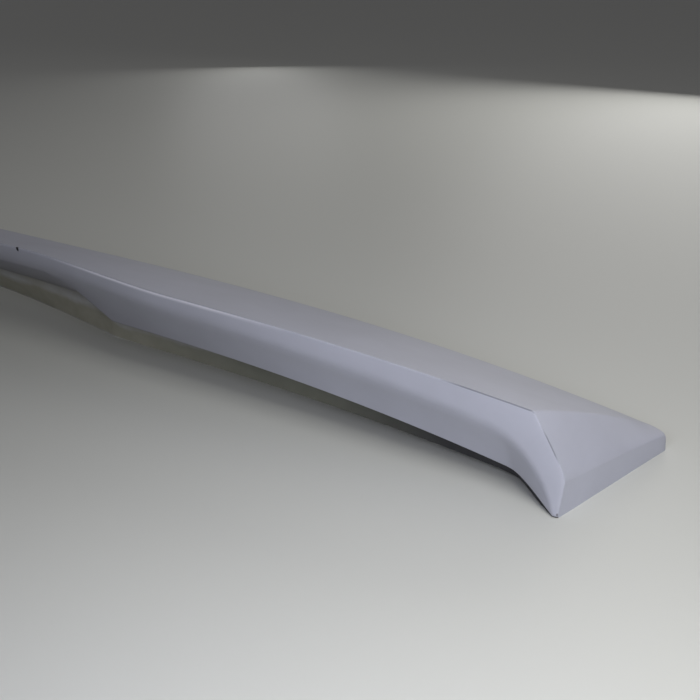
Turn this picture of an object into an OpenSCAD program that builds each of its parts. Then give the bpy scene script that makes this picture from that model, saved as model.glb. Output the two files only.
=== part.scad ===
// Roof spoiler: one long hollow moulding, open underneath, with a cut-out for the high brake lamp.
// +X is the right-hand end seen from behind, +Y points forward and +Z up.
// It stands on the flat pads under its two ends, and its underside follows the curve of a roof.

/* [Plan] */
// Length between the two leading corners
length = 1204; // [1050:10:1350]
// Length between the two trailing tips, which lie further in
tip_length = 1142; // [1000:10:1180]
// Depth from the trailing crest to the leading edge
depth = 143; // [125:1:165]
// How far the leading edge runs forward from the middle to the ends
front_sweep = 5; // [0:0.5:12]
// How far each trailing tip lies in front of the middle of the crest
tip_sweep = 8.5; // [6.5:0.5:16]
// Length over which the leading edge curves back to the end wall
corner_w = 18; // [12:1:24]
// How far the leading edge curves back there
corner_d = 7; // [4:0.5:10]

/* [Height and arch] */
// Height of the crest at the middle, without the raised part
crest_h = 94; // [85:1:110]
// How far the crest falls from the middle to the ends
crest_drop = 23; // [18:0.5:30]
// Extra height of the crest over the lamp cut-out
crest_lift = 8.5; // [2:0.5:12]
// Distance from the middle at which the raised part starts to fall
lift_near = 100; // [70:5:115]
// Distance from the middle at which the raised part has ended
lift_far = 260; // [200:5:280]
// Height of the roof's curve under the leading edge
roof_front = 39; // [30:1:45]
// Height of the roof's curve under the rear rim
roof_rear = 29.5; // [24:0.5:34]
// Thickness of the leading edge
edge_t = 11; // [8:0.5:15]
// How much thicker the leading edge gets towards the ends
edge_grow = 2.5; // [0:0.5:4]
// Rounding of the leading edge's top
edge_r = 4; // [2:0.5:6]
// Bulge of the top surface between the crest and the leading edge
crown = 3; // [0:0.5:6]

/* [Rear face] */
// Height of the upper bevel at the middle
bevel_h = 12; // [9:0.5:16]
// How much taller the bevel gets towards the ends
bevel_grow = 12; // [4:0.5:14]
// How far the foot of the bevel lies in front of the crest
bevel_in = 2; // [0.5:0.5:6]
// Rounding between the bevel and the lower band
fillet = 5; // [3:0.5:10]
// How far the lower band runs forward from the bevel to the lip
band_in = 18; // [12:0.5:22]
// Hollow of the lower band
band_sag = 1.5; // [0:0.25:3]
// Height of the inset wall under the lip at the middle
wall_h = 19.5; // [15:0.5:24]
// How much lower the inset wall gets towards the ends
wall_fall = 12; // [6:0.5:14]
// Width of the ledge under the lip
ledge = 6; // [4:0.5:7.5]
// How far the rim lies in front of the lip
rim_in = 9; // [8:0.5:12]

/* [Ends] */
// Height of the end wall at the trailing tip
tip_h = 30; // [22:1:34]
// Width of the slanted end facet at the crest
facet_w = 21; // [14:1:26]
// Rounding between the facet and the end wall
end_r = 3; // [1:0.5:4]
// Rounding of the end wall's two upright corners, seen from above
tip_r = 1; // [0:0.5:3]
// Outward slope of the end wall at the trailing tip
tip_lean = 6; // [0:0.5:12]
// Inward slope of the end wall at the leading corner
corner_lean = 4.5; // [0:0.5:8]
// Length over which the bevel sweeps down to the tip
end_sweep = 90; // [70:5:110]
// Length over which the lip and the rim turn back to the tip
tip_turn = 48; // [35:1:60]
// Length over which the rim comes down to the pad
rim_sweep = 42; // [30:1:55]
// Solid length of each end, inboard of the facet
end_block = 24; // [15:1:40]

/* [Lamp cut-out] */
// Half width of the cut-out at the lip
cut_half = 178; // [165:1:195]
// Length of the slanted side of the cut-out
cut_slant = 27; // [20:1:35]
// Length of the crease that runs up to the bevel
cut_crease = 27; // [20:1:35]
// Length of the small step between the lip inside the cut-out and its slanted side
cut_step = 10; // [5:1:16]
// How much shorter the cut-out is at the rim, at each side
cut_rim_back = 10; // [4:1:18]
// Height of the lip at the middle of the cut-out
cut_lip_h = 69; // [62:1:74]
// How far the lip falls from there to the step
cut_lip_fall = 4.5; // [2:0.5:8]
// How far the lip lies further forward inside the cut-out
cut_lip_in = 3; // [0:0.5:6]
// How far the rim curves forward inside the cut-out
cut_rim_in = 27; // [15:1:35]

/* [Shell] */
// Wall of the moulding
wall = 4; // [3:0.5:5]
// Width of the bonding flange along the leading edge
flange = 20; // [15:1:30]

/* [Hidden] */
half = length / 2;
tip_half = tip_length / 2;
y_back = -depth / 2;
y_front = depth / 2;
y_tip = y_back + tip_sweep;
facet_x = tip_half - facet_w;
block_u = 1 - end_block / facet_x;
// How steeply each line of the arch turns down: a roof is flatter in the middle
arch_power = 3;
// How suddenly each line of the rear face turns down to the tip
bevel_power = 5;
lip_power = 2;
// Distance from the tip at which those lines have run together
tip_flat = 4;
// How softly the lip and the rim start to turn
turn_soft = 0.15;
// Sizes left at the tip, where the lines of the rear face run together
tip_bevel = 5;
tip_lip = 1.5;
tip_rim = 0.8;
// Depth over which the rounding of those corners fades out
tip_fade = 18;
// Share of the band above the crease inside the cut-out, and at the top of its slanted side
crease_share = 0.15;
slant_share = 0.38;
lip_share = 0.03;
top_steps = 9;
inner_steps = 5;
block_steps = 5;
end_steps = 8;
tiny = 0.002;

function mix(a, b, k) = a + (b - a) * k;
function limit(k) = min(1, max(0, k));
function ease(k) = limit(k) * limit(k) * (3 - 2 * limit(k));
function arch(x, reach) = pow(limit(x / reach), arch_power);
function swept(x, length) = limit((x - tip_half + length) / (length - tip_flat));
function turned(x) =
    let (part = swept(x, tip_turn))
    part * part * (1 + turn_soft) / (part + turn_soft);
function raised(x) = 1 - ease((x - lift_near) / (lift_far - lift_near));

// Lines that run along the part, by their distance from the middle
function crest_y(x) = y_back + (tip_sweep - bevel_in) * pow(x / tip_half, 2);
function crest_z(x) = crest_h - crest_drop * arch(x, tip_half) + crest_lift * raised(x);
function bevel_z(x) =
    let (height = bevel_h + bevel_grow * arch(x, tip_half))
    mix(crest_z(x) - height, tip_bevel, pow(swept(x, end_sweep), bevel_power));
function bevel_y(x) = crest_y(x) + bevel_in;
function lip_y(x) = bevel_y(x) + band_in * (1 - turned(x));
function rim_base(x) =
    let (settle = limit((x - facet_x + rim_sweep) / rim_sweep))
    roof_rear * (1 - arch(x, tip_half)) * (1 - settle * settle);
function lip_z(x) =
    let (plain = roof_rear * (1 - arch(x, tip_half)) + wall_h - wall_fall * arch(x, tip_half))
    mix(plain, tip_lip, pow(turned(x), lip_power));
function rim_y(x) = lip_y(x) + mix(rim_in, tip_rim, turned(x));

// A point of the lower band: 0 at the foot of the bevel, 1 at the lip
function band(x, k) = [
    mix(bevel_y(x), lip_y(x), k) + band_sag * (1 - swept(x, end_sweep)) * sin(180 * k),
    mix(bevel_z(x), lip_z(x), k)
];

// The cut-out: the crease climbs from the lip to the bevel, and the lip climbs with it
cut_top = cut_half - cut_slant;
cut_in = cut_top - cut_crease;
cut_lip_end = cut_top - cut_step;
cut_rim_half = cut_half - cut_rim_back;
function crease(x) =
    x < cut_top
        ? mix(crease_share, slant_share, limit((x - cut_in) / cut_crease))
        : mix(slant_share, 1 - lip_share, limit((x - cut_top) / cut_slant));
function lip(x) =
    let (
        side = band(x, crease(x) + lip_share),
        inside = [lip_y(x) + cut_lip_in, cut_lip_h - cut_lip_fall * pow(x / cut_lip_end, 1.5)]
    )
    mix(inside, side, limit((x - cut_lip_end) / cut_step));
function cut_rim(x) = cut_rim_in * (1 - pow(limit(x / cut_rim_half), 1.3));

// How far out a point lies: s is 0 at the trailing side and 1 at the leading side, u runs along
// the length up to the end facet, and v across the facet
function facet_at(s) = mix(facet_w, corner_w, s);
function along(u, v, s) = u * (mix(tip_half, half, s) - facet_at(s)) + v * facet_at(s);

// The closed outline of the shell at one station
function outline(u, v, open) =
    let (
        x = along(u, v, 0),
        late = limit((v - 1) * facet_w / end_r + 1),
        rolled = 1 - sqrt(1 - late * late),
        ya = mix(crest_y(along(u, 0, 0)), y_tip, v),
        za = mix(crest_z(along(u, 0, 0)), tip_h, v) - end_r * rolled,
        yb = y_front - front_sweep * (1 - u * u) - corner_d * v * v,
        front_base = roof_front * (1 - pow(u, arch_power)),
        zb = front_base + edge_t + edge_grow * pow(u, bevel_power) - end_r * rolled / 2,
        rim = rim_y(x) + cut_rim(x),
        slope = (front_base - rim_base(x)) / (yb - rim_y(x)),
        base = function (y) rim_base(x) + slope * (y - rim_y(x)),
        top = function (s) mix(za, zb, s) + crown * (1 - v) * 4 * s * (1 - s),
        k = crease(x),
        foot = band(x, 0),
        arm = [ya, za] - foot,
        start = foot + arm * min(0.45, fillet / norm(arm)),
        turn = min(k * 0.6, fillet / norm(band(x, 1) - foot)),
        land = band(x, turn),
        lip_at = lip(x),
        drop = limit((foot.y - lip_at.y) / (foot.y - lip_z(x))),
        roll = band(x, mix(k, drop, 0.8)),
        ledge_at = lip_at + [mix(ledge, tip_rim / 2, turned(x)), -tip_lip / 5],
        s_edge = edge_r / (yb - ya),
        front = [
            [yb, front_base],
            [yb, zb - edge_r],
            [yb - 0.3 * edge_r, zb - 0.3 * edge_r]
        ],
        skin = [
            for (i = [0:top_steps])
                let (s = (1 - s_edge) * (1 - i / top_steps))
                [mix(ya, yb, s), top(s)]
        ],
        rear = [
            mix([ya, za], start, 0.5),
            start,
            mix(mix(start, foot, 0.35), mix(foot, land, 0.35), 0.35),
            mix(mix(start, foot, 0.65), mix(foot, land, 0.65), 0.65),
            land,
            band(x, mix(turn, k, 0.33)),
            band(x, mix(turn, k, 0.67)),
            band(x, k),
            mix(mix(band(x, k), roll, 0.35), mix(roll, lip_at, 0.35), 0.35),
            mix(mix(band(x, k), roll, 0.7), mix(roll, lip_at, 0.7), 0.7),
            lip_at,
            ledge_at,
            [rim, base(rim)]
        ],
        first = rim + wall * 1.05,
        last = yb - flange,
        s_first = 3 * wall / (yb - ya),
        s_last = (last - ya) / (yb - ya),
        hollow = open
            ? concat(
                [
                    [first, base(first)],
                    ledge_at + [wall * 1.05, wall * 0.75],
                    lip_at + [wall * 1.2, wall],
                    band(x, k) + [wall * 1.2, wall * 0.2],
                    foot + [wall * 1.2, 0],
                    [ya + wall * 1.5, za - wall * 1.7]
                ],
                [
                    for (i = [0:inner_steps])
                        let (s = mix(s_first, s_last, i / inner_steps))
                        [mix(ya, yb, s), top(s) - wall * 1.1]
                ],
                [[last, base(last)]]
            )
            : [
                for (i = [0:inner_steps + 7])
                    let (y = mix(first, last, i / (inner_steps + 7)))
                    [y, base(y)]
            ],
        flat = concat(front, skin, rear, hollow)
    )
    [
        for (p = flat)
            let (s = (p.x - ya) / (yb - ya))
            [
                along(u, v, s) + v * p.y * tan(mix(tip_lean, -corner_lean, s)),
                p.x + tip_r * rolled * (limit(1 - (p.x - ya) / tip_fade) - limit(1 - (yb - p.x) / tip_fade)),
                p.y
            ]
    ];

// Stations from the middle to one end: [along the length, across the facet, hollow or solid]
marks = [
    0,
    cut_in,
    cut_lip_end,
    cut_top,
    cut_rim_half,
    cut_half,
    lift_far,
    tip_half - end_sweep,
    facet_x * block_u
] / facet_x;
counts = [5, 2, 1, 2, 1, 4, 8, 5];
one_side = concat(
    [
        for (m = [0:len(counts) - 1])
            for (i = [1:counts[m]])
                [mix(marks[m], marks[m + 1], i / counts[m]), 0, true]
    ],
    [
        for (i = [0:block_steps])
            [mix(block_u + tiny, 1, i / block_steps), 0, false]
    ],
    [
        for (i = [1:end_steps])
            [1, sin(90 * i / end_steps), false]
    ]
);
stations = concat(
    [
        for (i = [len(one_side) - 1:-1:0])
            concat([-1], one_side[i])
    ],
    [[1, 0, 0, true]],
    [
        for (s = one_side)
            concat([1], s)
    ]
);

module spoiler_shell() {
    rings = [
        for (s = stations)
            [
                for (p = outline(s[1], s[2], s[3]))
                    [s[0] * p.x, p.y, p.z]
            ]
    ];
    n = len(rings[0]);
    last = len(rings) - 1;
    points = [
        for (ring = rings)
            for (p = ring)
                p
    ];
    sides = [
        for (r = [0:last - 1])
            for (i = [0:n - 1])
                let (
                    a = r * n + i,
                    b = r * n + (i + 1) % n
                )
                each r < last / 2
                    ? [[a, a + n, b], [b, a + n, b + n]]
                    : [[a, b + n, b], [a, a + n, b + n]]
    ];
    left_end = [
        for (i = [0:n - 1])
            i
    ];
    right_end = [
        for (i = [0:n - 1])
            last * n + n - 1 - i
    ];
    color([0.70, 0.71, 0.75])
        polyhedron(points, concat(sides, [left_end, right_end]), convexity = 6);
}

spoiler_shell();
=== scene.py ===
import math

import bmesh
import bpy
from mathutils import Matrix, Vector


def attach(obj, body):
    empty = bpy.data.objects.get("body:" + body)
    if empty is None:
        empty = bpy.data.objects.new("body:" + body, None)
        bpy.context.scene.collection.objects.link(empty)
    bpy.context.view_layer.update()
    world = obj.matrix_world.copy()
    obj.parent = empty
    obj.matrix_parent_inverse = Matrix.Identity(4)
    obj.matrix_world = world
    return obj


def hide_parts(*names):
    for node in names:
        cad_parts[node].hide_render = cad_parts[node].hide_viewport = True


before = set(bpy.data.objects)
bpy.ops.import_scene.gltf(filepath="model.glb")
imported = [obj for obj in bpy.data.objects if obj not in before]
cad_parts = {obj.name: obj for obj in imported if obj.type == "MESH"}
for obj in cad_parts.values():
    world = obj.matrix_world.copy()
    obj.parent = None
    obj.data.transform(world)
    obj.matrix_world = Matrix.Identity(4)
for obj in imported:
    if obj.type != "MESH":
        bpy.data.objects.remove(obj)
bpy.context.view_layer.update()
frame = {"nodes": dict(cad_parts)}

print("frame loaded:", ", ".join(frame["nodes"]))


def mixValue(a, b, k):
    return a + (b - a) * k


def mixPoint(a, b, k):
    return (mixValue(a[0], b[0], k), mixValue(a[1], b[1], k))


def limit(k):
    return min(1.0, max(0.0, k))


def easeIn(k):
    k = limit(k)
    return k * k * (3 - 2 * k)


def spread(a, b, count):
    return [mixValue(a, b, i / count) for i in range(count + 1)]


def linearColour(hexCode):
    # sRGB hex to the linear values that shader sockets take
    parts = [int(hexCode[i:i + 2], 16) / 255 for i in (1, 3, 5)]
    return tuple(c / 12.92 if c <= 0.04045 else ((c + 0.055) / 1.055) ** 2.4 for c in parts) + (1.0,)


def addNode(tree, kind, settings=None, links=None):
    # settings: an attribute's name, or a socket's name or number; links: this node's input from a socket
    node = tree.nodes.new(kind)
    for key, value in (settings or {}).items():
        if isinstance(key, str) and hasattr(node, key):
            setattr(node, key, value)
        else:
            node.inputs[key].default_value = value
    for key, socket in (links or {}).items():
        tree.links.new(socket, node.inputs[key])
    return node


def newMaterial(name):
    material = bpy.data.materials.new(name)
    material.use_nodes = True
    material.node_tree.nodes.clear()
    return material, material.node_tree


# The shell's form in millimetres: the same lines as the part's own source, with its corners softened
shell = {
    "length": 1204, "tipLength": 1142, "depth": 143, "frontSweep": 5, "tipSweep": 8.5,
    "cornerWidth": 18, "cornerDepth": 7,
    "crestHeight": 94, "crestDrop": 23, "crestLift": 8.5, "liftNear": 100, "liftFar": 260,
    "roofFront": 39, "roofRear": 29.5, "edgeThickness": 11, "edgeGrow": 2.5, "edgeRound": 4,
    "crown": 3,
    "bevelHeight": 12, "bevelGrow": 12, "bevelIn": 2, "fillet": 5,
    "bandIn": 18, "bandSag": 1.5, "wallHeight": 19.5, "wallFall": 12, "ledge": 6, "rimIn": 9,
    "tipHeight": 30, "facetWidth": 21, "endRound": 3, "tipRound": 1, "tipLean": 6, "cornerLean": 4.5,
    "endSweep": 90, "tipTurn": 48, "rimSweep": 42, "endBlock": 24,
    "cutHalf": 178, "cutSlant": 27, "cutCrease": 27, "cutStep": 10, "cutRimBack": 10,
    "cutLipHeight": 69, "cutLipFall": 4.5, "cutLipIn": 3, "cutRimIn": 27,
    "wall": 4, "flange": 20,
    "tipBevel": 5, "tipLip": 1.5, "tipRim": 0.8, "tipFade": 18, "tipFlat": 4,
    # how sharply the lines turn, as powers and as shares of the band's height
    "archPower": 3, "bevelPower": 5, "lipPower": 2, "cutLipPower": 1.5, "cutRimPower": 1.3, "turnSoft": 0.15,
    "creaseShare": 0.15, "slantShare": 0.38, "lipShare": 0.03, "lipRoll": 0.8,
    # how softly the moulding's own corners are rounded, and how long the wall evens out beside the cut-out
    "crestSoft": 1.3, "lipSoft": 1.0, "rimSoft": 0.7, "edgeSoft": 1.2, "innerSoft": 2.5,
    "alongSoft": 1.1, "cutSoft": 3, "evenWall": 26,
    # the inside's corners, in wall thicknesses from those outside: ledge, lip, band, bevel's foot, crest
    "innerCorners": ((1.05, 0.75), (1.2, 1), (1.2, 0.2), (1.2, 0), (1.5, -1.7)),
    "innerTop": 1.1, "innerStart": 3,
    # where the outline's and the run's points lie
    "skinStart": 3.0, "wideStations": 480,
    "facetSwing": (9, 15, 21, 27, 33, 39, 45, 51, 57, 63, 68, 73, 78, 82, 86, 90),    # degrees
}
g = shell
half = g["length"] / 2
tipHalf = g["tipLength"] / 2
yBack = -g["depth"] / 2
yFront = g["depth"] / 2
facetAt = tipHalf - g["facetWidth"]
cutTop = g["cutHalf"] - g["cutSlant"]
cutIn = cutTop - g["cutCrease"]
cutLipEnd = cutTop - g["cutStep"]
cutRimHalf = g["cutHalf"] - g["cutRimBack"]


def arch(x):
    return limit(x / tipHalf) ** g["archPower"]


def swept(x, length):
    return limit((x - tipHalf + length) / (length - g["tipFlat"]))


def turned(x):
    part = swept(x, g["tipTurn"])
    return part * part * (1 + g["turnSoft"]) / (part + g["turnSoft"])


def raised(x):
    return 1 - easeIn((x - g["liftNear"]) / (g["liftFar"] - g["liftNear"]))


def crestY(x):
    return yBack + (g["tipSweep"] - g["bevelIn"]) * (x / tipHalf) ** 2


def crestZ(x):
    return g["crestHeight"] - g["crestDrop"] * arch(x) + g["crestLift"] * raised(x)


def bevelZ(x):
    height = g["bevelHeight"] + g["bevelGrow"] * arch(x)
    return mixValue(crestZ(x) - height, g["tipBevel"], swept(x, g["endSweep"]) ** g["bevelPower"])


def bevelY(x):
    return crestY(x) + g["bevelIn"]


def lipY(x):
    return bevelY(x) + g["bandIn"] * (1 - turned(x))


def lipZ(x):
    plain = g["roofRear"] * (1 - arch(x)) + g["wallHeight"] - g["wallFall"] * arch(x)
    return mixValue(plain, g["tipLip"], turned(x) ** g["lipPower"])


def rimY(x):
    return lipY(x) + mixValue(g["rimIn"], g["tipRim"], turned(x))


def rimBase(x):
    settle = limit((x - facetAt + g["rimSweep"]) / g["rimSweep"])
    return g["roofRear"] * (1 - arch(x)) * (1 - settle * settle)


def band(x, k):
    # a point of the lower band: 0 at the foot of the bevel, 1 at the lip
    sag = g["bandSag"] * (1 - swept(x, g["endSweep"])) * math.sin(math.pi * k)
    return (mixValue(bevelY(x), lipY(x), k) + sag, mixValue(bevelZ(x), lipZ(x), k))


def creaseShare(x):
    if x < cutTop:
        return mixValue(g["creaseShare"], g["slantShare"], limit((x - cutIn) / g["cutCrease"]))
    return mixValue(g["slantShare"], 1 - g["lipShare"], limit((x - cutTop) / g["cutSlant"]))


def lipPoint(x):
    side = band(x, creaseShare(x) + g["lipShare"])
    fallen = g["cutLipFall"] * (x / cutLipEnd) ** g["cutLipPower"]
    inside = (lipY(x) + g["cutLipIn"], g["cutLipHeight"] - fallen)
    return mixPoint(inside, side, limit((x - cutLipEnd) / g["cutStep"]))


def ledgeY(x):
    # the inset wall runs on evenly behind the cut-out's slanted edge, so the ledge is wider there
    plain = lipPoint(x)[0] + mixValue(g["ledge"], g["tipRim"] / 2, turned(x))
    start, end = cutLipEnd - g["evenWall"], g["cutHalf"]
    if not start < x < end:
        return plain
    a, b = [lipPoint(at)[0] + g["ledge"] for at in (start, end)]
    return mixValue(a, b, (x - start) / (end - start))


def cutRim(x):
    return g["cutRimIn"] * (1 - limit(x / cutRimHalf) ** g["cutRimPower"])


def facetWide(s):
    return mixValue(g["facetWidth"], g["cornerWidth"], s)


def alongX(u, v, s):
    return u * (mixValue(tipHalf, half, s) - facetWide(s)) + v * facetWide(s)


def curveThrough(a, b, c, count):
    # a quadratic curve from a to c that leaves and arrives along the lines to b
    points = []
    for k in spread(0, 1, count):
        points.append(mixPoint(mixPoint(a, b, k), mixPoint(b, c, k), k))
    return points


def softCorner(before, corner, after, size, count=3):
    # the corner of an outline, rounded by size but never past a third of its neighbours
    lengthA = math.dist(before, corner)
    lengthB = math.dist(after, corner)
    a = mixPoint(corner, before, min(0.33, size / max(lengthA, 1e-6)))
    b = mixPoint(corner, after, min(0.33, size / max(lengthB, 1e-6)))
    return curveThrough(a, corner, b, count)


def sectionOutline(u, v, hollow):
    # the closed outline of the moulding at one station, as (y, z) and what each point belongs to
    x = alongX(u, v, 0)
    late = limit((v - 1) * g["facetWidth"] / g["endRound"] + 1)
    rolled = 1 - math.sqrt(max(0.0, 1 - late * late))
    crestAt = alongX(u, 0, 0)
    ya = mixValue(crestY(crestAt), yBack + g["tipSweep"], v)
    za = mixValue(crestZ(crestAt), g["tipHeight"], v) - g["endRound"] * rolled
    yb = yFront - g["frontSweep"] * (1 - u * u) - g["cornerDepth"] * v * v
    frontBase = g["roofFront"] * (1 - u ** g["archPower"])
    zb = frontBase + g["edgeThickness"] + g["edgeGrow"] * u ** g["bevelPower"] - g["endRound"] * rolled / 2
    rimAt = rimY(x) + cutRim(x)
    slope = (frontBase - rimBase(x)) / (yb - rimY(x))

    def base(y):
        return rimBase(x) + slope * (y - rimY(x))

    def top(s):
        return mixValue(za, zb, s) + g["crown"] * (1 - v) * 4 * s * (1 - s)

    k = creaseShare(x)
    foot = band(x, 0)
    lower = band(x, 1)
    arm = math.dist((ya, za), foot)
    start = mixPoint(foot, (ya, za), min(0.45, g["fillet"] / arm))
    turn = min(k * 0.6, g["fillet"] / math.dist(lower, foot))
    land = band(x, turn)
    lipAt = lipPoint(x)
    fall = limit((foot[1] - lipAt[1]) / (foot[1] - lipZ(x)))
    roll = band(x, mixValue(k, fall, g["lipRoll"]))
    ledgeAt = (ledgeY(x), lipAt[1] - g["tipLip"] / 5)
    rimPoint = (rimAt, base(rimAt))
    edge = g["edgeRound"]
    edgeShare = edge / (yb - ya)

    wall = g["wall"]
    first = rimAt + wall * g["innerCorners"][0][0]
    last = yb - g["flange"]
    firstBase = (first, base(first))
    skinStart = g["skinStart"] / (yb - ya)

    points = []

    def put(kind, some):
        points.extend((p, kind) for p in some)

    put("edge", softCorner((last, base(last)), (yb, frontBase), (yb, zb), g["edgeSoft"]))
    put("edge", curveThrough((yb, zb - edge), (yb, zb), (yb - edge, top(1 - edgeShare)), 6)[:-1])
    put("skin", [(mixValue(ya, yb, s), top(s)) for s in spread(1 - edgeShare, skinStart, 24)])
    skinNear = (mixValue(ya, yb, skinStart), top(skinStart))
    put("crest", softCorner(skinNear, (ya, za), start, g["crestSoft"], 4))
    put("bevel", [mixPoint((ya, za), start, q) for q in (0.4, 0.7)])
    put("bevel", curveThrough(start, foot, land, 7))
    put("band", [band(x, mixValue(turn, k, q)) for q in (0.2, 0.4, 0.6, 0.8)])
    put("band", curveThrough(band(x, k), roll, lipAt, 5)[:-1])
    put("lip", softCorner(mixPoint(roll, lipAt, 0.7), lipAt, ledgeAt, g["lipSoft"]))
    put("ledge", softCorner(lipAt, ledgeAt, rimPoint, g["lipSoft"]))
    put("wall", [mixPoint(ledgeAt, rimPoint, q) for q in (0.35, 0.6, 0.85)])
    put("rim", softCorner(ledgeAt, rimPoint, firstBase, g["rimSoft"]))

    outside = (ledgeAt, lipAt, band(x, k), foot, (ya, za))
    corners = [(p[0] + wall * inY, p[1] + wall * inZ) for p, (inY, inZ) in zip(outside, g["innerCorners"])]
    sFirst = g["innerStart"] * wall / (yb - ya)
    sLast = (last - ya) / (yb - ya)
    roof = [(mixValue(ya, yb, s), top(s) - wall * g["innerTop"]) for s in spread(sFirst, sLast, 13)]
    chain = [firstBase] + corners + roof + [(last, base(last))]
    inner = softCorner(rimPoint, firstBase, corners[0], g["rimSoft"])
    for i in range(1, 6):
        inner += softCorner(chain[i - 1], chain[i], chain[i + 1], g["innerSoft"])
    inner += roof[:-1] + softCorner(roof[-2], roof[-1], chain[-1], g["innerSoft"], 2) + [chain[-1]]
    if not hollow:
        # a closed end: the same points, brought straight down to the base
        inner = [(y, base(y)) for y in (min(last, max(first, p[0])) for p in inner)]
    put("inside", inner)
    put("flange", [(yb - 7, base(yb - 7)), (yb - 3, base(yb - 3))])

    rounded = []
    for (y, z), kind in points:
        s = (y - ya) / (yb - ya)
        lean = math.radians(mixValue(g["tipLean"], -g["cornerLean"], s))
        xAt = alongX(u, v, s) + v * z * math.tan(lean)
        # the end wall's two upright corners are rounded, not the wall between them
        near = limit(1 - (y - ya) / g["tipFade"]) - limit(1 - (yb - y) / g["tipFade"])
        rounded.append((xAt, y + g["tipRound"] * rolled * near, z, kind))
    return rounded


# A station is the distance along the part: past the facet's start it runs across the facet
facetLength = g["facetWidth"]
blockStart = facetAt - g["endBlock"]


def outlineAt(distance, hollow):
    if distance <= facetAt:
        return sectionOutline(distance / facetAt, 0, hollow)
    return sectionOutline(1, min(1.0, (distance - facetAt) / facetLength), hollow)


def softOutline(distance, hollow):
    # the mean of near outlines, which rounds a corner that runs across the part
    reach = g["alongSoft"] if distance < facetAt + facetLength * 0.8 else 0
    nearLipEnd = limit(1.4 - abs(distance - (cutLipEnd + cutTop) / 2) / g["cutStep"])
    reach = mixValue(reach, g["cutSoft"], nearLipEnd)
    reach = min(reach, facetAt + facetLength - distance)
    if reach <= 0 or distance < reach:
        return outlineAt(distance, hollow)
    rings = [outlineAt(distance + d * reach, hollow) for d in (-1, -0.5, 0, 0.5, 1)]
    shares = (0.15, 0.22, 0.26, 0.22, 0.15)
    soft = []
    for same in zip(*rings):
        soft.append(tuple(sum(p[i] * w for p, w in zip(same, shares)) for i in range(3)) + (same[0][3],))
    return soft


def stationList():
    # close together where the form turns: the lamp cut-out, the sweep to the tip and the facet
    marks = [(0, cutIn, 12), (cutIn, cutLipEnd, 4), (cutLipEnd, cutTop, 6), (cutTop, cutRimHalf, 9),
             (cutRimHalf, g["cutHalf"], 5), (g["cutHalf"], g["liftFar"], 10),
             (g["liftFar"], g["wideStations"], 22), (g["wideStations"], blockStart, 12)]
    stations = [(0, True)]
    for a, b, count in marks:
        stations += [(d, True) for d in spread(a, b, count)[1:]]
    stations += [(d, False) for d in spread(blockStart + 0.002, facetAt - 2, 8)]
    stations += [(facetAt + d, False) for d in (-1.2, -0.6, 0, 0.6, 1.2)]
    swing = [math.sin(math.radians(a)) for a in g["facetSwing"]]
    stations += [(facetAt + facetLength * q, False) for q in swing]
    return stations


def deselectAll():
    if bpy.context.object and bpy.context.object.mode != "OBJECT":
        bpy.ops.object.mode_set(mode="OBJECT")
    bpy.ops.object.select_all(action="DESELECT")


def toMetres(p):
    return Vector((p[0] / 1000, p[1] / 1000, p[2] / 1000))


def buildShell():
    # one section outline, extruded station by station to the right-hand end, then mirrored
    stations = stationList()
    firstRing = softOutline(*stations[0])
    count = len(firstRing)
    deselectAll()
    bpy.ops.mesh.primitive_circle_add(vertices=count, radius=0.1, fill_type="NOTHING")
    piece = bpy.context.object
    piece.name = "mouldedShell"
    bpy.ops.object.mode_set(mode="EDIT")
    mesh = bmesh.from_edit_mesh(piece.data)
    order = mesh.verts.layers.int.new("ringOrder")
    for i, vert in enumerate(mesh.verts):
        vert[order] = i
        vert.co = toMetres(firstRing[i])
    bmesh.update_edit_mesh(piece.data)
    bpy.ops.mesh.select_all(action="SELECT")
    kinds = [p[3] for p in firstRing]
    for distance, hollow in stations[1:]:
        bpy.ops.mesh.extrude_region_move()
        ring = softOutline(distance, hollow)
        mesh = bmesh.from_edit_mesh(piece.data)
        order = mesh.verts.layers.int["ringOrder"]
        for vert in mesh.verts:
            if vert.select:
                vert.co = toMetres(ring[vert[order]])
        bmesh.update_edit_mesh(piece.data)
    bpy.ops.mesh.edge_face_add()
    bpy.ops.object.mode_set(mode="OBJECT")
    return piece, kinds, stations


shellPiece, ringKinds, stationSteps = buildShell()
print("shell half:", len(shellPiece.data.vertices), "vertices,", len(stationSteps), "stations")


def finishShell(piece):
    deselectAll()
    piece.select_set(True)
    bpy.context.view_layer.objects.active = piece
    mirror = piece.modifiers.new("otherHalf", "MIRROR")
    mirror.use_axis = (True, False, False)
    mirror.merge_threshold = 0.00001
    bpy.ops.object.modifier_apply(modifier=mirror.name)
    bpy.ops.object.mode_set(mode="EDIT")
    bpy.ops.mesh.select_all(action="SELECT")
    bpy.ops.mesh.remove_doubles(threshold=0.000008)
    bpy.ops.mesh.normals_make_consistent(inside=False)
    bpy.ops.object.mode_set(mode="OBJECT")
    bpy.ops.object.shade_smooth_by_angle(angle=math.radians(38))


finishShell(shellPiece)


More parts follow.
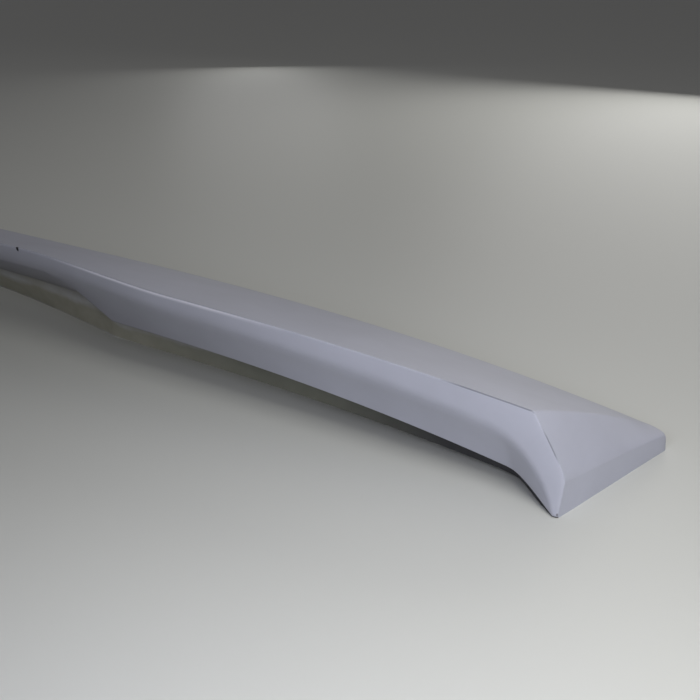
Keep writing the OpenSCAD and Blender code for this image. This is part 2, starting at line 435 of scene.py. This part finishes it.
# Where the moulding is left unprimed, the painted shade and painted light on it, and the lines along its
# crest: a darker line and a painted highlight.
# Four distances from the middle, in mm: a finish fades in between the first two, out between the last two
finish = {
    "rawByKind": {"ledge": 0.55, "wall": 1.0, "rim": 1.0, "inside": 1.0, "flange": 0.85},
    "litWallRows": (0.62, 0.82, 0.98),         # the wall's three rows near the middle: painted light, lighter towards the top
    # painted highlight along the rim near the middle
    "rimHighlight": 0.6,
    "shadedBandRows": (0.1, 0.25, 0.38),          # the band's last rows at the cut-out's slanted edge: painted shade in the crease
    "slantFade": (142, 156, 170, 186),
    "shadeFromCrest": (0.3, 0.5, 0.95, 1.0),   # painted shade down the rear face: at the crest, the bevel's foot, the band's edge and the lip
    "shadeOnTop": 0.2,                           # painted shade on the top near the middle
    "shadeOnBand": 0.12,                         # painted shade on the band along the whole length
    # where the painted shade and the wall's painted light near the middle fade in and out
    "paintedShadeCoat": (-2, -1, 140, 400),
    "darkLine": (482, 500, 548, 552),         # along the crest, on its top side
    "ridgeLine": (556, 560, 566, 569),        # and down the end's ridge
    "crestHighlightLine": (135, 190, 300, 370),       # painted highlight along the crest's edge
    "crestHighlightShade": 0.3,                       # how dark the painted shade just above that highlight is
}


def fadeBetween(x, stops):
    a, b, c, d = stops
    return limit((x - a) / (b - a)) * limit((d - x) / (d - c))


def paintedShadeShares():
    # painted shade that deepens steadily down the rear face, point by point of the outline
    bevels, bands = [[i for i, kind in enumerate(ringKinds) if kind == name] for name in ("bevel", "band")]
    top, foot, edge, lip = finish["shadeFromCrest"]
    shares = [0.0] * len(ringKinds)
    for run, a, b in ((bevels, top, foot), (bands, foot, edge)):
        for step, i in enumerate(run):
            shares[i] = mixValue(a, b, (step + 1) / len(run))
    for i, kind in enumerate(ringKinds):
        if kind in ("lip", "ledge"):
            shares[i] = lip
        if kind in ("skin", "crest", "edge"):
            shares[i] = finish["shadeOnTop"]
    return shares


def paintedLightAndShadeShares():
    # rows of the outline with painted light (the wall's upper rows and the rim near the middle) or painted
    # shade (the band's last rows at the slanted edge), each with its own share
    walls, bands = [[i for i, kind in enumerate(ringKinds) if kind == name] for name in ("wall", "band")]
    onWall = dict(zip(walls, finish["litWallRows"]))
    onBand = dict(zip(bands[-len(finish["shadedBandRows"]):], finish["shadedBandRows"]))
    onWall.update({i: finish["rimHighlight"] for i, kind in enumerate(ringKinds) if kind == "rim"})
    return onWall, onBand


def paintAttributes(piece):
    data = piece.data
    orders = [item.value for item in data.attributes["ringOrder"].data]
    paintedShadeShare = paintedShadeShares()
    litWallRows, shadedBandRows = paintedLightAndShadeShares()
    names = ("rawMouldingWithPaintedLight", "paintedShadeCoat", "darkLine", "crestHighlightLine")
    for name in names:
        data.attributes.new(name, "FLOAT", "POINT")
    raw, paintedShade, dark, crestHighlight = [data.attributes[name] for name in names]
    crestPoints = [i for i, kind in enumerate(ringKinds) if kind == "crest"]
    middle = crestPoints[len(crestPoints) // 2]
    # the end walls are primed down to the table
    endReach = [p[0] - 0.02 for p in softOutline(*stationSteps[-1])]
    for i, vert in enumerate(data.vertices):
        x = vert.co.x * 1000
        order = orders[i]
        kind = ringKinds[order]
        onEnd = abs(x) > endReach[order]
        bare = finish["rawByKind"].get(kind, 0.0)
        # painted light on the wall's upper rows and the rim near the middle, painted shade on the band's
        # last rows by the slanted edge
        bare = mixValue(bare, litWallRows.get(order, bare), fadeBetween(abs(x), finish["paintedShadeCoat"]))
        bare = mixValue(bare, shadedBandRows.get(order, bare), fadeBetween(abs(x), finish["slantFade"]))
        raw.data[i].value = 0.0 if onEnd else bare
        # painted shade on the band, down the rear face and on the top near the middle
        coat = finish["shadeOnBand"] if kind in ("band", "lip", "ledge") and not onEnd else 0.0
        paintedShade.data[i].value = mixValue(coat, paintedShadeShare[order], fadeBetween(abs(x), finish["paintedShadeCoat"]))
        onLine = fadeBetween(x, finish["darkLine"]) + fadeBetween(x, finish["ridgeLine"])
        # painted highlight along the crest's edge, with painted shade just above it
        onCrestHighlight = fadeBetween(x, finish["crestHighlightLine"])
        dark.data[i].value = max(onLine if abs(order - middle) <= 1 else 0.0,
                                 onCrestHighlight * finish["crestHighlightShade"] if order - middle in (-2, -1) else 0.0)
        crestHighlight.data[i].value = onCrestHighlight if order - middle in (1, 2) else 0.0
    data.attributes.remove(data.attributes["ringOrder"])


paintAttributes(shellPiece)
print("shell:", len(shellPiece.data.polygons), "faces")


# Grey primer sprayed over a glass-fibre moulding
primer = {
    "body": "#b9bbc8",          # sprayed two-pack primer: light grey, faintly lavender
    "mottle": "#b1b3bf",        # thinner coats let the dark laminate through a little
    "paintedShade": "#5a595a",          # painted shade: the darkest, under the crest near the middle
    "rawLitMiddle": "#8f8d80",     # laminate, lighter at the middle: painted light where the tall wall of the cut-out is lit
    "raw": "#65665c",           # dark olive grey
    "rawShadedEnd": "#27272c",        # nearly black towards the ends: painted shade in the narrow wall under the lip
    "strand": "#c9cbc0",        # how far the chopped strands darken it
    # the painted highlight's colour along the crest, and the darker crest line's colour
    "crestHighlight": "#dadae3", "line": "#858791",
    "mottleShare": 0.6, "strandShare": 0.45,
    "roughness": 0.52, "rawRoughness": 0.6,
    "mottleSize": 45, "grainSize": 1.6, "strandSize": 14, "waveSize": 120,    # mm
    "waveBump": (0.25, 0.004), "grainBump": (0.12, 0.0003),                   # strength, and depth in m
    "fadeMiddle": (140, 320), "fadeEnd": (370, 480),                          # mm from the middle
    # place (mm), size (mm), how much narrower than tall, and colour
    "spots": {
        "crestChip": ((100.9, -71.1, 101.0), 2.6, 1.6, "#020202"),
        "tipNick": ((570.6, -62.7, 2.7), 1.2, 1.4, "#808088"),
    },
    "ragged": 1.2,              # how uneven the spots' edges are, mm
}


def perMetre(sizeInMm):
    return 1000 / sizeInMm


def makePrimer():
    material, tree = newMaterial("greyPrimerOnLaminate")
    m = primer
    place = addNode(tree, "ShaderNodeTexCoord").outputs["Object"]
    raw, paintedShade, dark, crestHighlight = [addNode(tree, "ShaderNodeAttribute", {"attribute_name": name}).outputs["Fac"]
                               for name in ("rawMouldingWithPaintedLight", "paintedShadeCoat", "darkLine", "crestHighlightLine")]
    mottle = addNode(tree, "ShaderNodeTexNoise", {"Scale": perMetre(m["mottleSize"]), "Detail": 4.0,
                                                  "Roughness": 0.55}, {"Vector": place}).outputs["Fac"]
    # real spray grain is under 0.2 mm: drawn at 1.6 mm so that the render can show it
    grain = addNode(tree, "ShaderNodeTexNoise", {"Scale": perMetre(m["grainSize"]), "Detail": 2.0},
                    {"Vector": place}).outputs["Fac"]
    mottleShare = addNode(tree, "ShaderNodeMapRange", {"From Min": 0.35, "From Max": 0.7,
                                                       "To Max": m["mottleShare"]},
                          {"Value": mottle}).outputs["Result"]
    body = addNode(tree, "ShaderNodeMix", {"data_type": "RGBA", 6: linearColour(m["body"]),
                                           7: linearColour(m["mottle"])}, {0: mottleShare}).outputs[2]
    # painted shade over the primer
    withPaintedShade = addNode(tree, "ShaderNodeMix", {"data_type": "RGBA", 7: linearColour(m["paintedShade"])},
                     {0: paintedShade, 6: body}).outputs[2]
    # a darker line along the crest, then the painted highlight along its edge
    lined = addNode(tree, "ShaderNodeMix", {"data_type": "RGBA", 7: linearColour(m["line"])},
                    {0: dark, 6: withPaintedShade}).outputs[2]
    lined = addNode(tree, "ShaderNodeMix", {"data_type": "RGBA", 7: linearColour(m["crestHighlight"])},
                    {0: crestHighlight, 6: lined}).outputs[2]
    # the raw side: chopped strands in resin, with painted light at the middle and painted shade towards the
    # ends
    along = addNode(tree, "ShaderNodeSeparateXYZ", None, {"Vector": place}).outputs["X"]
    out = addNode(tree, "ShaderNodeMath", {"operation": "ABSOLUTE"}, {0: along}).outputs[0]
    laminate = None
    for key, fade in (("raw", m["fadeMiddle"]), ("rawShadedEnd", m["fadeEnd"])):
        share = addNode(tree, "ShaderNodeMapRange", {"From Min": fade[0] / 1000, "From Max": fade[1] / 1000},
                        {"Value": out}).outputs["Result"]
        step = addNode(tree, "ShaderNodeMix", {"data_type": "RGBA", 6: linearColour(m["rawLitMiddle"]),
                                               7: linearColour(m[key])}, {0: share})
        if laminate:
            tree.links.new(laminate, step.inputs[6])
        laminate = step.outputs[2]
    strands = addNode(tree, "ShaderNodeTexVoronoi", {"feature": "F2", "Randomness": 1.0,
                                                     "Scale": perMetre(m["strandSize"])},
                      {"Vector": place}).outputs["Distance"]
    strandShare = addNode(tree, "ShaderNodeMapRange", {"From Min": 1.1, "From Max": 0.3,
                                                       "To Max": m["strandShare"]},
                          {"Value": strands}).outputs["Result"]
    laminate = addNode(tree, "ShaderNodeMix", {"data_type": "RGBA", "blend_type": "MULTIPLY",
                                               7: linearColour(m["strand"])},
                       {0: strandShare, 6: laminate}).outputs[2]
    # overspray: the primer ends in a broken edge on the ledge
    edgeNoise = addNode(tree, "ShaderNodeMath", {"operation": "MULTIPLY_ADD", 1: 0.5, 2: -0.25},
                        {0: mottle}).outputs[0]
    rawNoisy = addNode(tree, "ShaderNodeMath", {"operation": "ADD"}, {0: raw, 1: edgeNoise}).outputs[0]
    rawShare = addNode(tree, "ShaderNodeMapRange", {"From Min": 0.3, "From Max": 0.75},
                       {"Value": rawNoisy}).outputs["Result"]
    surface = addNode(tree, "ShaderNodeMix", {"data_type": "RGBA"},
                      {0: rawShare, 6: lined, 7: laminate}).outputs[2]
    ragged = addNode(tree, "ShaderNodeMath", {"operation": "MULTIPLY_ADD", 1: m["ragged"] / 1000,
                                              2: -m["ragged"] / 2000}, {0: grain}).outputs[0]
    for spotAt, spotSize, narrow, spotColour in m["spots"].values():
        squeezed = addNode(tree, "ShaderNodeVectorMath", {"operation": "MULTIPLY", 1: (narrow, narrow, 1)},
                           {0: place}).outputs["Vector"]
        centre = toMetres((spotAt[0] * narrow, spotAt[1] * narrow, spotAt[2]))
        away = addNode(tree, "ShaderNodeVectorMath", {"operation": "DISTANCE", 1: centre},
                       {0: squeezed}).outputs["Value"]
        reach = addNode(tree, "ShaderNodeMath", {"operation": "ADD"}, {0: away, 1: ragged}).outputs[0]
        inSpot = addNode(tree, "ShaderNodeMapRange", {"From Min": spotSize / 1000,
                                                      "From Max": spotSize / 1400},
                         {"Value": reach}).outputs["Result"]
        surface = addNode(tree, "ShaderNodeMix", {"data_type": "RGBA", 7: linearColour(spotColour)},
                          {0: inSpot, 6: surface}).outputs[2]
    # spray grain over the long, faint waves of a hand-finished mould
    waves = addNode(tree, "ShaderNodeTexNoise", {"Scale": perMetre(m["waveSize"]), "Detail": 1.0},
                    {"Vector": place}).outputs["Fac"]
    strength, depth = m["waveBump"]
    waveBump = addNode(tree, "ShaderNodeBump", {"Strength": strength, "Distance": depth}, {"Height": waves})
    strength, depth = m["grainBump"]
    grainBump = addNode(tree, "ShaderNodeBump", {"Strength": strength, "Distance": depth},
                        {"Height": grain, "Normal": waveBump.outputs["Normal"]})
    gloss = addNode(tree, "ShaderNodeMapRange", {"To Min": m["roughness"], "To Max": m["rawRoughness"]},
                    {"Value": rawShare}).outputs["Result"]
    shader = addNode(tree, "ShaderNodeBsdfPrincipled", {"IOR": 1.5},
                     {"Base Color": surface, "Roughness": gloss, "Normal": grainBump.outputs["Normal"]})
    addNode(tree, "ShaderNodeOutputMaterial", None, {"Surface": shader.outputs["BSDF"]})
    return material


shellPiece.data.materials.append(makePrimer())
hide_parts("spoiler_shell")
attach(shellPiece, "root")
print("primer done")


# Table, light and camera, as in the photograph
studio = {
    "table": "#d5d6d0",
    "cameraAt": (0.7787, -0.6451, 0.3865), "cameraTurn": (66.1, 0, 32.1), "lens": 56.57,
    "skyColour": "#efeef2", "skyStrength": 0.12,
}

# place, aim (m), size (m), power (W) and colour of each soft light
lights = {
    # what a white wall and a ceiling give back
    "whiteWall": ((0.3, 1.2, 0.5), (0.4, 0.0, 0.0), 1.0, 3.2, "#fffefd"),
    "ceiling": ((0.72, 0.5, 1.2), (0.4, 0.0, 0.0), 1.0, 0.9, "#fffdfa"),
    # low, so that they reach under the arch
    "underRight": ((0.9, 0.9, 0.2), (0.4, 0.0, 0.02), 0.35, 0.5, "#ffffff"),
    "underLeft": ((-0.6, 1.2, 0.22), (0.3, 0.0, 0.02), 0.4, 0.25, "#ffffff"),
    # cool light on the rear face
    "rearWindow": ((0.55, -0.5, 0.31), (0.45, -0.05, 0.0), 0.2, 0.62, "#e9ecff"),
    "rearCorner": ((0.95, -0.5, 0.28), (0.45, -0.05, 0.0), 0.25, 0.95, "#f3f5ff"),
    # near the right-hand end, so that the light falls off to the left
    "rightWindow": ((0.95, -0.35, 0.35), (0.5, -0.1, 0.0), 0.3, 0.55, "#fdfcff"),
    "rightLamp": ((0.75, -0.3, 0.55), (0.5, -0.1, 0.0), 0.3, 1.25, "#fffefa"),
}


def makeTable():
    deselectAll()
    bpy.ops.mesh.primitive_plane_add(size=12, location=(0, 0, 0))
    table = bpy.context.object
    table.name = "paleTable"
    material, tree = newMaterial("whiteTableTop")
    shader = addNode(tree, "ShaderNodeBsdfPrincipled", {"Base Color": linearColour(studio["table"]),
                                                        "Roughness": 0.5, "IOR": 1.45})
    addNode(tree, "ShaderNodeOutputMaterial", None, {"Surface": shader.outputs["BSDF"]})
    table.data.materials.append(material)
    return table


def softLight(name, place, aim, size, power, colour):
    light = bpy.data.lights.new(name, "AREA")
    light.shape = "DISK"
    light.size = size
    light.energy = power
    light.color = linearColour(colour)[:3]
    lamp = bpy.data.objects.new(name, light)
    bpy.context.scene.collection.objects.link(lamp)
    lamp.location = place
    lamp.rotation_euler = (Vector(aim) - Vector(place)).to_track_quat("-Z", "Y").to_euler()
    lamp.visible_camera = False
    return lamp


makeTable()
for lightName, (place, aim, size, power, colour) in lights.items():
    softLight(lightName, place, aim, size, power, colour)

world = bpy.data.worlds.new("softRoom")
world.use_nodes = True
world.node_tree.nodes.clear()
sky = addNode(world.node_tree, "ShaderNodeBackground", {"Color": linearColour(studio["skyColour"]),
                                                        "Strength": studio["skyStrength"]})
addNode(world.node_tree, "ShaderNodeOutputWorld", None, {"Surface": sky.outputs["Background"]})
bpy.context.scene.world = world

cameraData = bpy.data.cameras.new("photoCamera")
cameraData.lens = studio["lens"]
cameraData.sensor_width = 36
camera = bpy.data.objects.new("photoCamera", cameraData)
bpy.context.scene.collection.objects.link(camera)
camera.location = studio["cameraAt"]
camera.rotation_euler = [math.radians(a) for a in studio["cameraTurn"]]
bpy.context.scene.camera = camera
bpy.context.scene.view_settings.view_transform = "Standard"
print("studio done")
